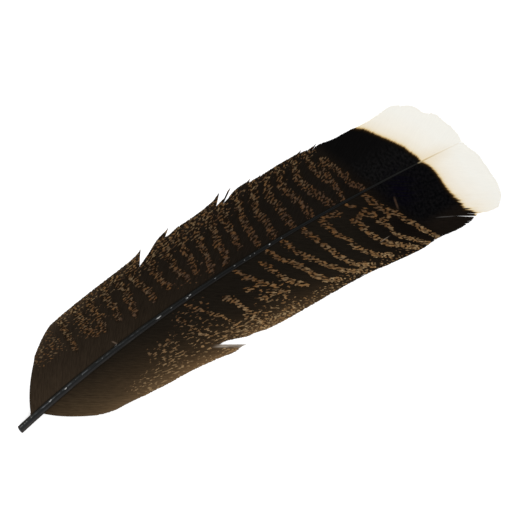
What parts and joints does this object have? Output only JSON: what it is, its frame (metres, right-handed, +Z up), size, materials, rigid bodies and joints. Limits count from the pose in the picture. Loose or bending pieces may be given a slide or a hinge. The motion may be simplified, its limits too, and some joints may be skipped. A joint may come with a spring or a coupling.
{
  "type": "turkey tail feather",
  "caption": "White-tipped turkey tail feather lying upper side up, with a tapering shaft between two barred vanes that have a few splits along their edges.",
  "frame": {"origin": "on the resting surface, under the middle of the feather's box", "axes": "+X along the feather from the cut quill end to the white tip, +Y towards the narrower left vane, +Z up, out of the upper side"},
  "size_m": [0.3222, 0.0986, 0.0085],
  "materials": {
    "shaft_keratin": "smooth blue-black horn with paler scuffs",
    "left_vane_barbs": "soft barbs, dark brown with rust flecks, a black band and a cream tip",
    "right_vane_barbs": "soft barbs, warm brown with tan bars, a black band and a cream tip"
  },
  "bodies": {
    "root": {"shaft": "shaft_keratin", "left_vane": "left_vane_barbs", "right_vane": "right_vane_barbs"}
  },
  "joints": []
}
